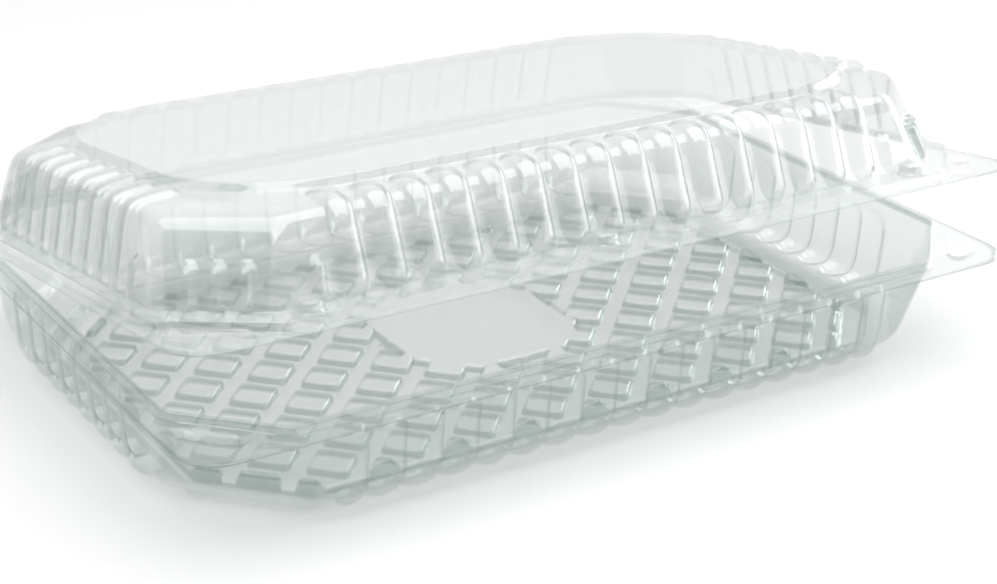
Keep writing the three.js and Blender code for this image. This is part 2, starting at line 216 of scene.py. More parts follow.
@dataclass(frozen=True)
class ClearSheet:
    """Thin clear formed sheet: a faint green cast, deeper at its cut rim, with painted shade on steep
    faces and in creases, a darker colour at grazing angles that is partly the longer path through the
    sheet and partly painted shade, and gloss.
    """

    name: str = "clear_sheet"
    tint: tuple[float, float, float] = (0.956, 0.961, 0.960)
    deep_and_shaded_tint: tuple[float, float, float] = (0.748, 0.79, 0.78)
    head_on: float = 0.045
    gloss: float = 0.07
    haze: float = 0.05
    wave_scale: float = 55.0
    wave_height: float = 0.00008
    wave_strength: float = 0.5
    grain_scale: float = 420.0
    grazing_tint_and_shade: float = 0.6
    milk: float = 0.004
    milk_colour: tuple[float, float, float] = (0.78, 0.79, 0.79)

    def material(self) -> bpy.types.Material:
        """Build the material.

        Returns:
            A see-through shader with a little milkiness, under gloss that grows at grazing angles.
        """
        made = bpy.data.materials.new(self.name)
        tree = ShaderTree(made)
        place = tree.node("ShaderNodeTexCoord", out="Object")
        waves = tree.node("ShaderNodeTexNoise", {"noise_dimensions": "3D"},
                          {"Vector": place, "Scale": self.wave_scale, "Detail": 2.0})
        grain = tree.node("ShaderNodeTexNoise", {"noise_dimensions": "3D"},
                          {"Vector": place, "Scale": self.grain_scale, "Detail": 3.0})
        normal = tree.node("ShaderNodeBump", {}, {"Height": waves, "Strength": self.wave_strength,
                                                  "Distance": self.wave_height})
        rough = self.gloss + grain * self.haze
        gloss = tree.node("ShaderNodeBsdfGlossy", {},
                          {"Color": (1, 1, 1, 1), "Roughness": rough, "Normal": normal})
        clear = tree.node("ShaderNodeBsdfTransparent", {}, {"Color": (*self.tint, 1)})
        # The darker see-through colour: painted shade on steep faces and in creases, and the deeper tint
        # of the cut rim
        deep_and_shaded = tree.node("ShaderNodeBsdfTransparent", {}, {"Color": (*self.deep_and_shaded_tint, 1)})
        facing = tree.node("ShaderNodeLayerWeight", {}, {"Blend": 0.5, "Normal": normal},
                           out="Facing")
        # The mesh's painted shade, with the rim's deeper tint
        bend = tree.node("ShaderNodeAttribute", {"attribute_name": "bend"}, out="Fac")
        # Darker at grazing angles, partly the longer path through the sheet and partly painted shade
        depth = (bend + facing ** 6 * self.grazing_tint_and_shade).clamped()
        through = tree.node("ShaderNodeMixShader", {}, {0: depth, 1: clear, 2: deep_and_shaded})
        body = tree.node("ShaderNodeBsdfDiffuse", {}, {"Color": (*self.milk_colour, 1)})
        hazy = tree.node("ShaderNodeMixShader", {}, {0: self.milk, 1: through, 2: body})
        share = self.head_on + facing ** 5 * (1 - self.head_on)
        tree.finish(tree.node("ShaderNodeMixShader", {}, {0: share, 1: hazy, 2: gloss}))
        return made


@dataclass(frozen=True)
class StudioFloor:
    """A plain matt white floor."""

    shade: float = 0.66

    def material(self) -> bpy.types.Material:
        """Build the material."""
        made = bpy.data.materials.new("studio_floor")
        tree = ShaderTree(made)
        colour = (self.shade, self.shade, self.shade, 1)
        tree.finish(tree.node("ShaderNodeBsdfDiffuse", {}, {"Color": colour}))
        return made


@dataclass(frozen=True)
class Ring:
    """One outline of a sheet with its height, and how the profile turns there.

    A ring has cut corners where cut is set, the limit of |x| + |y|, and round ones where radius is.
    """

    x: float
    y: float
    z: float
    cut: float = 0.0
    radius: float = 0.0
    bump: float = 0.0
    soft: float = 0.05
    step: float = 0.15
    mark: str = ""

    def sizes(self, q: int) -> tuple[float, float]:
        """Half-length of a quarter's side and its distance from the middle."""
        return (self.x, self.y) if q % 2 == 0 else (self.y, self.x)


@dataclass(frozen=True)
class Station:
    """One place on the way round a sheet.

    A side station has a fixed place, or lies a share of the way from reach to the side's end. A corner
    station lies on one of the two soft edges, or between them a given way from the middle.
    """

    q: int
    corner: bool = False
    at: float = 0.0
    beyond: float = -1.0
    sign: int = 1
    reach: float = 0.0
    edge: int = -1
    turn: float = 0.0
    away: float = 0.0
    spread: float = 0.0


class Outline:
    """Places and outward directions of all stations on one ring."""

    def __init__(self, stations: Sequence[Station]) -> None:
        """Keep the stations."""
        self.stations = list(stations)

    @staticmethod
    def side_end(ring: Ring, q: int) -> float:
        """Where a straight side ends, before its soft edge."""
        return ring.cut - ring.sizes(q)[1] - EDGE_R * EDGE_TAN

    def cut_point(self, ring: Ring, st: Station) -> np.ndarray:
        """One station on a ring with cut corners."""
        q = st.q
        if not st.corner:
            along = st.at
            if st.beyond >= 0:
                along = st.sign * mix(st.reach, self.side_end(ring, q), st.beyond)
            return ALONG[q] * along + OUT[q] * ring.sizes(q)[1]
        nxt = (q + 1) % 4
        half, far = ring.sizes(q)
        a = ALONG[q] * (ring.cut - far) + OUT[q] * far
        b = -ALONG[nxt] * (ring.cut - half) + OUT[nxt] * half
        way = (b - a) / np.linalg.norm(b - a)
        tip = EDGE_R * EDGE_TAN
        if st.edge < 0:
            flat = np.linalg.norm(b - a) / 2 - tip
            away = st.away + math.copysign(st.spread * (flat - abs(st.away)), st.away or 1.0)
            return (a + b) / 2 + way * away
        at, into, leave = (a, ALONG[q], way) if st.edge == 0 else (b, way, ALONG[nxt])
        p0, p2, t = at - into * tip, at + leave * tip, st.turn
        return p0 * (1 - t) ** 2 + at * 2 * t * (1 - t) + p2 * t * t

    def round_point(self, ring: Ring, like: Ring, st: Station, share: float) -> np.ndarray:
        """One station on a ring with round corners, which shares each corner out as like does."""
        q = st.q
        half, far = ring.sizes(q)
        if not st.corner:
            along = self.cut_point(like, st) @ ALONG[q]
            over = abs(along) - (half - ring.radius)
            if over > 0:
                far = far - ring.radius + math.sqrt(max(0.0, ring.radius ** 2 - over * over))
            return ALONG[q] * along + OUT[q] * far
        nxt, r = (q + 1) % 4, ring.radius
        start, stop = self.side_end(like, q), self.side_end(like, nxt)
        one = max(0.0, half - r - start)
        two = max(0.0, far - r - stop)
        a0 = math.asin(min(1.0, max(0.0, (start - (half - r)) / r)))
        a1 = math.pi / 2 - math.asin(min(1.0, max(0.0, (stop - (far - r)) / r)))
        arc = (a1 - a0) * r
        s = share * (one + arc + two)
        if s < one:
            return ALONG[q] * (start + s) + OUT[q] * far
        s -= one
        if s <= arc:
            a = a0 + s / r
            return ALONG[q] * (half - r + r * math.sin(a)) + OUT[q] * (far - r + r * math.cos(a))
        return -ALONG[nxt] * (stop + two - (s - arc)) + OUT[nxt] * half

    def points(self, ring: Ring, like: Ring) -> np.ndarray:
        """All stations of a ring.

        Args:
            ring: The ring.
            like: The nearest ring with cut corners, which a round ring takes its shares from.

        Returns:
            One row of x and y for each station.
        """
        if ring.cut:
            return np.array([self.cut_point(ring, st) for st in self.stations])
        base = np.array([self.cut_point(like, st) for st in self.stations])
        shares = self._shares(base)
        return np.array([self.round_point(ring, like, st, s) for st, s in zip(self.stations, shares)])

    def _shares(self, base: np.ndarray) -> np.ndarray:
        """How far along its own corner each corner station lies, by length."""
        shares = np.zeros(len(base))
        for q in range(4):
            own = [i for i, st in enumerate(self.stations) if st.corner and st.q == q]
            steps = np.linalg.norm(np.diff(base[own], axis=0), axis=1)
            shares[own] = np.concatenate([[0.0], np.cumsum(steps)]) / steps.sum()
        return shares


@dataclass(frozen=True)
class Wave:
    """One row of ribs or flutes along a side."""

    pitch: float
    count: int
    wide: float
    end: float = 0.0

    def places(self) -> list[tuple[float, float]]:
        """Middle and half-width of each one."""
        rows = [((k - (self.count - 1) / 2) * self.pitch, self.wide / 2) for k in range(self.count)]
        if self.end:
            edge = self.count * self.pitch / 2
            rows = [(-edge - self.end / 2, self.end / 2), *rows, (edge + self.end / 2, self.end / 2)]
        return rows


def side_stations(q: int, wave: Wave, fine: int, stub: float) -> list[Station]:
    """Stations of one side, close together where its bumps are steep.

    Args:
        q: The side's quarter.
        wave: The side's bumps.
        fine: How many steps each bump gets.
        stub: How far past the last bump a short rib stands, or 0.

    Returns:
        The stations in order.
    """
    spots: list[float] = []
    turn = np.sin(np.linspace(-math.pi / 2, math.pi / 2, fine + 1))
    for mid, half in wave.places():
        spots += [mid + half * t for t in turn]
    spots = sorted(set(round(s, 5) for s in spots))
    ends = [(spots[i], spots[i + 1]) for i in range(len(spots) - 1) if spots[i + 1] - spots[i] > 0.15]
    spots = sorted(spots + [mix(a, b, f) for a, b in ends for f in (0.33, 0.67)])
    reach = spots[-1]
    shares = np.linspace(0.0, 1.0, 15 if stub else 6)[1:-1]
    low = [Station(q, beyond=float(f), sign=-1, reach=reach) for f in shares[::-1]]
    high = [Station(q, beyond=float(f), sign=1, reach=reach) for f in shares]
    return [*low, *(Station(q, at=s) for s in spots), *high]


def corner_stations(q: int, aways: Sequence[float]) -> list[Station]:
    """Stations round one cut corner.

    Args:
        q: The quarter that the corner ends.
        aways: Places each side of the corner's middle.

    Returns:
        The stations in order.
    """
    turns = [0.0, 0.25, 0.5, 0.75, 1.0]
    first = [Station(q, True, edge=0, turn=t) for t in turns]
    last = [Station(q, True, edge=1, turn=t) for t in turns]
    top = max(aways)
    low = [Station(q, True, away=-top, spread=f) for f in (0.8, 0.6, 0.4, 0.2)]
    high = [Station(q, True, away=top, spread=f) for f in (0.2, 0.4, 0.6, 0.8)]
    middle = [Station(q, True, away=a) for a in aways]
    return [*first, *low, *middle, *high, *last]


@dataclass
class Shell:
    """A grid of rows round a sheet, from its lip inwards, with what each vertex needs to be raised."""

    plain: np.ndarray
    normal: np.ndarray
    bump: np.ndarray
    down: np.ndarray
    marks: dict[str, float]

    @classmethod
    def from_rings(cls, rings: Sequence[Ring], outline: Outline, sense: float) -> "Shell":
        """Build the plain surface by turning softly at each ring.

        Args:
            rings: The profile from the lip inwards.
            outline: The stations round it.
            sense: 1 where the surface kept is the underside of a tray, -1 for the top of a lid.

        Returns:
            The shell, with its outward normals.
        """
        likes = [ring for ring in rings if ring.cut]
        solid = []
        for i, ring in enumerate(rings):
            like = ring if ring.cut else min(likes, key=lambda c: abs(rings.index(c) - i))
            flat = outline.points(ring, like)
            tall = np.full((len(flat), 1), ring.z)
            solid.append(np.hstack([flat, tall, np.full((len(flat), 1), ring.bump)]))
        rows, down, marks = cls._profile(rings, solid)
        grid = np.stack(rows)
        plain, bump = grid[:, :, :3], grid[:, :, 3]
        du = np.roll(plain, -1, axis=1) - np.roll(plain, 1, axis=1)
        dv = np.gradient(plain, axis=0)
        normal = np.cross(du, dv) * -sense
        normal /= np.linalg.norm(normal, axis=2, keepdims=True) + 1e-12
        return cls(plain, normal, bump, np.array(down), marks)

    @staticmethod
    def _profile(rings: Sequence[Ring], solid: list[np.ndarray]) -> tuple[list, list, dict]:
        """Rows along the profile, how far down the profile each lies, and the named places."""
        gaps = [float(np.mean(np.linalg.norm(b[:, :3] - a[:, :3], axis=1)))
                for a, b in zip(solid, solid[1:])]
        rows, down, marks, travelled = [solid[0]], [0.0], {}, 0.0
        if rings[0].mark:
            marks[rings[0].mark] = 0.0
        tail = 0.0
        for i, gap in enumerate(gaps):
            a, b = solid[i], solid[i + 1]
            last = i + 1 == len(gaps)
            room = gap / 2 if not last else gap
            lead = 0.0 if last else min(rings[i + 1].soft, room * 0.98, gaps[i + 1] * 0.49)
            first, stop = tail / gap, 1 - lead / gap
            count = max(1, math.ceil((stop - first) * gap / rings[i].step))
            for n in range(1, count + 1):
                f = mix(first, stop, n / count)
                rows.append(a + (b - a) * f)
                down.append(travelled + gap * f)
            travelled += gap
            if rings[i + 1].mark:
                marks[rings[i + 1].mark] = travelled
            tail = lead
            if not last:
                after = solid[i + 2]
                p0, p2 = b + (a - b) * (lead / gap), b + (after - b) * (lead / gaps[i + 1])
                for t in BEND_SHARES:
                    rows.append(p0 * (1 - t) ** 2 + b * 2 * t * (1 - t) + p2 * t * t)
                    down.append(travelled + lead * (2 * t - 1))
        return rows, down, marks

    def depth(self, share: float, grid: np.ndarray, outline: Outline, corner: float) -> np.ndarray:
        """How deep the tint and painted shade are at each vertex: painted shade on steep walls, in creases
        and on the cut corners' walls, and the sheet's own deeper tint on its cut rim.

        Args:
            share: How much painted shade steep walls get.
            grid: The raised surface, whose creases get painted shade.
            outline: The stations round it.
            corner: How much more painted shade the walls of the cut corners get.

        Returns:
            Values from 0 to 1.
        """
        steep = smooth((1.0 - np.abs(self.normal[:, :, 2])) / STEEP_AT)
        cut = np.array([1.0 if st.corner and st.edge < 0 else 0.0 for st in outline.stations])
        # Painted shade on steep walls, more on the cut corners' walls, and painted shade in creases
        tint = steep * (share + corner * cut) + CREASE_PAINTED_SHADE * creases(grid)
        tint[:2] = RIM_TINT
        return np.clip(tint, 0.0, TINT_LIMIT)

    def raised(self, lift: np.ndarray) -> np.ndarray:
        """The surface with each vertex moved along its normal."""
        return self.plain + self.normal * lift[:, :, None]


def creases(grid: np.ndarray) -> np.ndarray:
    """How sharply a grid of rows turns at each vertex, from 0 to 1."""
    du = np.roll(grid, -1, axis=1) - np.roll(grid, 1, axis=1)
    dv = np.gradient(grid, axis=0)
    normal = np.cross(du, dv)
    normal /= np.linalg.norm(normal, axis=2, keepdims=True) + 1e-12
    sharp = np.zeros(grid.shape[:2])
    for axis in (0, 1):
        turn = np.linalg.norm(np.roll(normal, -1, axis=axis) - np.roll(normal, 1, axis=axis), axis=2)
        way = np.linalg.norm(np.roll(grid, -1, axis=axis) - np.roll(grid, 1, axis=axis), axis=2)
        bent = turn / (way + SHORTEST)
        if axis == 0:
            bent[[0, 1, -1, -2]] = 0.0
        sharp = np.maximum(sharp, smooth((bent - CREASE_FROM) / CREASE_RANGE))
    return sharp


def arch(across: np.ndarray, beyond: np.ndarray, power: float, blunt: float) -> np.ndarray:
    """Height of a half-round bump with round ends.

    Args:
        across: Place across it, from -1 to 1.
        beyond: How far into a round end, from 0 to 1.
        power: How flat its back is.
        blunt: How steep its sides are, where less is steeper.

    Returns:
        Heights from 0 to 1.
    """
    rest = 1 - np.abs(across) ** power - beyond ** 2
    return np.clip(rest, 0.0, 1.0) ** blunt


def bumps(shell: Shell, outline: Outline, waves: Sequence[Wave], top: str, foot: str,
          power: float, blunt: float) -> np.ndarray:
    """Lift of all full-length bumps on the sides.

    Args:
        shell: The surface they stand on.
        outline: Its stations.
        waves: The rows of bumps on the long and the short sides.
        top: The name of the place where they start.
        foot: The name of the place where they end.
        power: How flat their backs are.
        blunt: How steep their sides are.

    Returns:
        One lift for each vertex.
    """
    lift = np.zeros(shell.bump.shape)
    start, stop = shell.marks[top], shell.marks[foot]
    for j, st in enumerate(outline.stations):
        if st.corner or st.beyond >= 0:
            continue
        for mid, half in waves[st.q % 2].places():
            across = (st.at - mid) / half
            if abs(across) >= 1:
                continue
            beyond = np.maximum(start + half - shell.down, shell.down - (stop - half)) / half
            lift[:, j] = arch(np.array(across), np.clip(beyond, 0, 1), power, blunt) * shell.bump[:, j]
    return lift


@dataclass(frozen=True)
class Dimple:
    """A round-ended hollow or, with a height above 0, a boss pressed into a lip."""

    x: float
    y: float
    half: float
    wide: float
    high: float
    turn: float = 0.0

    def lift(self, points: np.ndarray) -> np.ndarray:
        """Height that it adds at each point."""
        c, s = math.cos(self.turn), math.sin(self.turn)
        dx, dy = points[..., 0] - self.x, points[..., 1] - self.y
        along, across = dx * c + dy * s, -dx * s + dy * c
        away = np.hypot(np.maximum(np.abs(along) - self.half, 0.0), across)
        return self.high * smooth((1.0 - away / self.wide) / 0.6)


class Sheet:
    """An open surface of formed sheet, to which thickness is given before it becomes an object."""

    def __init__(self, points: np.ndarray, faces: list[tuple[int, ...]], bend: np.ndarray) -> None:
        """Keep the vertices, in units, the faces, which look outwards, and the depth of tint and painted
        shade.
        """
        self.points = points
        self.faces = faces
        self.bend = bend

    @classmethod
    def from_grid(cls, grid: np.ndarray, flip: bool, bend: np.ndarray) -> "Sheet":
        """Faces of a closed ring of rows.

        Args:
            grid: Rows of vertices.
            flip: True for faces that look down and outwards as on a tray, not up and outwards.
            bend: How deep the sheet's tint and painted shade are at each vertex.

        Returns:
            The sheet.
        """
        rows, n = grid.shape[:2]
        faces = []
        for i in range(rows - 1):
            for j in range(n):
                k = (j + 1) % n
                a, b, c, d = i * n + j, i * n + k, (i + 1) * n + k, (i + 1) * n + j
                faces.append((a, d, c, b) if flip else (a, b, c, d))
        return cls(grid.reshape(-1, 3), faces, bend.reshape(-1))

    def close(self, count: int) -> None:
        """Close the last row, of count vertices, with triangles that look up round its middle."""
        middle = len(self.points)
        last = middle - count
        self.points = np.vstack([self.points, self.points[last:].mean(axis=0)])
        self.faces += [(last + i, last + (i + 1) % count, middle) for i in range(count)]
        self.bend = np.append(self.bend, 0.0)

    def add(self, other: "Sheet") -> None:
        """Take in another sheet."""
        start = len(self.points)
        self.points = np.vstack([self.points, other.points])
        self.bend = np.concatenate([self.bend, other.bend])
        self.faces += [tuple(v + start for v in face) for face in other.faces]

    def solid(self, name: str, to_world: Callable[[np.ndarray], np.ndarray],
              material: bpy.types.Material, thick: float = SHEET) -> bpy.types.Object:
        """Give the surface thickness on its inner side and make an object of it.

        Args:
            name: The piece's name.
            to_world: Turns units into metres where the piece stands.
            material: Its finish.
            thick: The sheet's thickness.

        Returns:
            The object.
        """
        mesh = bpy.data.meshes.new(name)
        mesh.from_pydata(self.points.tolist(), [], self.faces)
        mesh.update()
        count = len(mesh.vertices)
        normal = np.zeros(count * 3)
        mesh.vertex_normals.foreach_get("vector", normal)
        inner = self.points - normal.reshape(-1, 3) * thick
        used: dict[tuple[int, int], int] = {}
        for face in self.faces:
            for a, b in zip(face, (*face[1:], face[0])):
                used[(a, b)] = used.get((a, b), 0) + 1
        rim = [(b, a, a + count, b + count) for (a, b) in used if (b, a) not in used]
        under = [tuple(v + count for v in reversed(face)) for face in self.faces]
        mesh.clear_geometry()
        mesh.from_pydata(to_world(np.vstack([self.points, inner])).tolist(), [], self.faces + under + rim)
        mesh.materials.append(material)
        # Tint and painted shade at each vertex, which the finish reads
        bend = mesh.attributes.new("bend", "FLOAT", "POINT")
        bend.data.foreach_set("value", np.tile(self.bend, 2).astype(np.float32))
        mesh.update()
        mesh.shade_smooth()
        made = bpy.data.objects.new(name, mesh)
        bpy.context.scene.collection.objects.link(made)
        return made


def tray_world(points: np.ndarray) -> np.ndarray:
    """Metres in the frame from the tray's units."""
    return points * UNIT_M + np.array(SHIFT_M)


def lid_world(points: np.ndarray) -> np.ndarray:
    """Metres in the frame from the units of the lid as drawn closed, with its lip's underside at 0."""
    y = points[:, 1] - HINGE_Y
    z = points[:, 2] + CLOSED_GAP / 2
    c, s = math.cos(OPEN_RAD), math.sin(OPEN_RAD)
    hinge_z = LIP_Z + CAD_SHEET + CLOSED_GAP / 2
    turned = np.stack([points[:, 0], y * c - z * s + HINGE_Y, y * s + z * c + hinge_z], axis=1)
    return tray_world(turned)


def octagon_distance(points: np.ndarray, x: float, y: float, cut: float) -> np.ndarray:
    """How far outside a rectangle with cut corners each point lies, negative inside."""
    ax, ay = np.abs(points[:, 0]), np.abs(points[:, 1])
    return np.maximum.reduce([ax - x, ay - y, (ax + ay - cut) / math.sqrt(2)])


@dataclass
class PatternFloor:
    """The tray's floor: rows of diamond pads between grooves, inside a moat, with a plain plateau."""

    pad_half: float = 0.633
    pad_round: float = 0.13
    groove: float = 0.21
    moat: float = 0.4
    field_size: tuple[float, float, float] = (9.75, 5.62, 13.5)
    plateau: tuple[float, float, float] = (2.5, 2.5, 3.8)
    border: tuple[float, float, float] = (10.03, 5.92, 13.93)
    near_border: tuple[float, float, float] = (8.9, 4.8, 12.4)
    near_plateau: float = 3.1
    border_cuts: tuple[float, ...] = (-0.03, 0.02, 0.07, 0.12, 0.17)
    plateau_cuts: tuple[float, ...] = (-0.01, 0.03, 0.07, 0.11)
    offsets: tuple[float, ...] = (-0.1, -0.055, -0.02, 0.015, 0.05, 0.085, 0.12, 0.2, 0.367)
    along: tuple[float, ...] = (-1.0, -0.86, -0.5, 0.0, 0.5, 0.86)

    def _cell(self) -> tuple[np.ndarray, list[tuple[int, ...]]]:
        """One cell of the pattern in its own slanted directions, with its faces."""
        points = [np.zeros(2)]
        faces: list[tuple[int, ...]] = []
        n = 4 * len(self.along)
        for off in self.offsets:
            h = self.pad_half + off
            r = 0.0 if off == self.offsets[-1] else self.pad_round + off
            for q in range(4):
                for s in self.along:
                    sharp = ALONG[q] * s * h + OUT[q] * h
                    near = np.clip(sharp, -(h - r), h - r)
                    gap = np.linalg.norm(sharp - near)
                    points.append(near + (sharp - near) / gap * r if r > 0 else sharp)
        for i in range(n):
            faces.append((0, 1 + i, 1 + (i + 1) % n))
        for ring in range(len(self.offsets) - 1):
            a, b = 1 + ring * n, 1 + (ring + 1) * n
            for i in range(n):
                k = (i + 1) % n
                faces.append((a + i, b + i, b + k, a + k))
        flat = np.array(points)
        turned = np.stack([(flat[:, 0] + flat[:, 1]) / 2, (flat[:, 0] - flat[:, 1]) / 2], axis=1)
        return turned, faces

    def _slice(self, bm: bmesh.types.BMesh, size: tuple[float, float, float], offset: float,
               near: Callable[[Vector], bool], clear: bool) -> None:
        """Cut the faces near a border along its eight lines.

        Args:
            bm: The floor.
            size: The border's half-sizes and its limit of |x| + |y|.
            offset: How far outside the border to cut.
            near: True for the middles of faces that may be cut.
            clear: True to take away what lies outside.
        """
        ways = [(1, 0, size[0]), (-1, 0, size[0]), (0, 1, size[1]), (0, -1, size[1])]
        root = math.sqrt(0.5)
        ways += [(sx * root, sy * root, size[2] * root) for sx in (1, -1) for sy in (1, -1)]
        for nx, ny, reach in ways:
            level = reach + offset
            faces = [f for f in bm.faces if near(f.calc_center_median())]
            faces = [f for f in faces
                     if clear or self._crosses(f, nx, ny, level)]
            geom = list({v for f in faces for v in f.verts})
            geom += list({e for f in faces for e in f.edges}) + faces
            bmesh.ops.bisect_plane(bm, geom=geom, dist=1e-5, plane_co=(nx * level, ny * level, 0),
                                   plane_no=(nx, ny, 0), clear_outer=clear)

    @staticmethod
    def _crosses(face: bmesh.types.BMFace, nx: float, ny: float, level: float) -> bool:
        """True if a line runs through the face."""
        sides = [v.co.x * nx + v.co.y * ny - level for v in face.verts]
        return min(sides) < 0 < max(sides)

    def build(self) -> tuple[np.ndarray, list[tuple[int, ...]]]:
        """Build the floor's underside.

        Returns:
            Its vertices and its faces, which look down.
        """
        cell, cell_faces = self._cell()
        points, faces = [], []
        for i in range(-11, 12):
            for j in range(-7, 8):
                if (i + j) % 2:
                    continue
                start = len(points) * len(cell)
                points.append(cell + np.array([i, j]))
                faces += [tuple(v + start for v in face) for face in cell_faces]
        flat = np.vstack(points)
        mesh = bpy.data.meshes.new("floor_draft")
        mesh.from_pydata(np.hstack([flat, np.zeros((len(flat), 1))]).tolist(), [], faces)
        bm = bmesh.new()
        bm.from_mesh(mesh)
        bpy.data.meshes.remove(mesh)
        bmesh.ops.remove_doubles(bm, verts=bm.verts, dist=1e-4)
        bmesh.ops.recalc_face_normals(bm, faces=bm.faces)

        def outer(at: Vector) -> bool:
            """True near the floor's border."""
            x, y, cut = self.near_border
            return abs(at.x) > x or abs(at.y) > y or abs(at.x) + abs(at.y) > cut

        def inner(at: Vector) -> bool:
            """True round the plateau's edge."""
            return max(abs(at.x), abs(at.y)) < self.near_plateau

        self._slice(bm, self.border, 0.0, outer, True)
        for offset in self.border_cuts:
            self._slice(bm, self.field_size, offset, outer, False)
        for offset in self.plateau_cuts:
            self._slice(bm, self.plateau, offset, inner, False)
        bm.verts.index_update()
        flat = np.array([v.co[:] for v in bm.verts])
        out = []
        for face in bm.faces:
            order = [v.index for v in face.verts]
            out.append(tuple(order if face.normal.z < 0 else reversed(order)))
        bm.free()
        flat[:, 2] = self.heights(flat)
        return flat, out

    def heights(self, flat: np.ndarray) -> np.ndarray:
        """Height of the floor's underside at each point."""
        a, b = flat[:, 0] + flat[:, 1], flat[:, 0] - flat[:, 1]
        a, b = np.abs(a - 2 * np.round(a / 2)), np.abs(b - 2 * np.round(b / 2))
        core = self.pad_half - self.pad_round
        out = np.hypot(np.maximum(a - core, 0), np.maximum(b - core, 0)) - self.pad_round
        pad = -self.groove * smooth((out + 0.045) / 0.155)
        plateau = -self.groove * smooth((octagon_distance(flat, *self.plateau) + 0.01) / 0.12)
        edge = -self.moat * smooth((octagon_distance(flat, *self.field_size) + 0.03) / 0.2)
        return np.minimum(np.maximum(pad, plateau), edge) - CAD_SHEET

    def steepness(self, flat: np.ndarray) -> np.ndarray:
        """How steep the floor is at each point, from 0 to 1, which sets the painted shade on its steep
        faces.
        """
        step = 0.01
        east, north = flat + np.array([step, 0, 0]), flat + np.array([0, step, 0])
        west, south = flat - np.array([step, 0, 0]), flat - np.array([0, step, 0])
        dx = (self.heights(east) - self.heights(west)) / (2 * step)
        dy = (self.heights(north) - self.heights(south)) / (2 * step)
        return 0.75 * smooth((np.hypot(dx, dy) - 0.6) / 1.8)


def zip_loops(outer: np.ndarray, inner: np.ndarray, outer_at: Sequence[int], inner_at: Sequence[int]
              ) -> list[tuple[int, ...]]:
    """Triangles between two loops round the same middle.

    Args:
        outer: Places of the outer loop's vertices.
        inner: Places of the inner loop's vertices.
        outer_at: Their numbers in the mesh.
        inner_at: Likewise.

    Returns:
        Faces that look up.
    """
    def turned(points: np.ndarray, at: Sequence[int]) -> tuple[list[float], list[int]]:
        """Angles in order, with the vertex numbers."""
        angle = np.arctan2(points[:, 1], points[:, 0])
        order = np.argsort(angle)
        return [float(angle[i]) for i in order], [at[i] for i in order]

    oa, ov = turned(outer, outer_at)
    ia, iv = turned(inner, inner_at)
    faces = []
    i = j = 0
    while i < len(ov) or j < len(iv):
        next_o = oa[i + 1] if i + 1 < len(ov) else oa[(i + 1) % len(ov)] + 2 * math.pi
        next_i = ia[j + 1] if j + 1 < len(iv) else ia[(j + 1) % len(iv)] + 2 * math.pi
        a, b = ov[i % len(ov)], iv[j % len(iv)]
        if j >= len(iv) or (i < len(ov) and next_o <= next_i):
            faces.append((b, a, ov[(i + 1) % len(ov)]))
            i += 1
        else:
            faces.append((b, a, iv[(j + 1) % len(iv)]))
            j += 1
    return faces


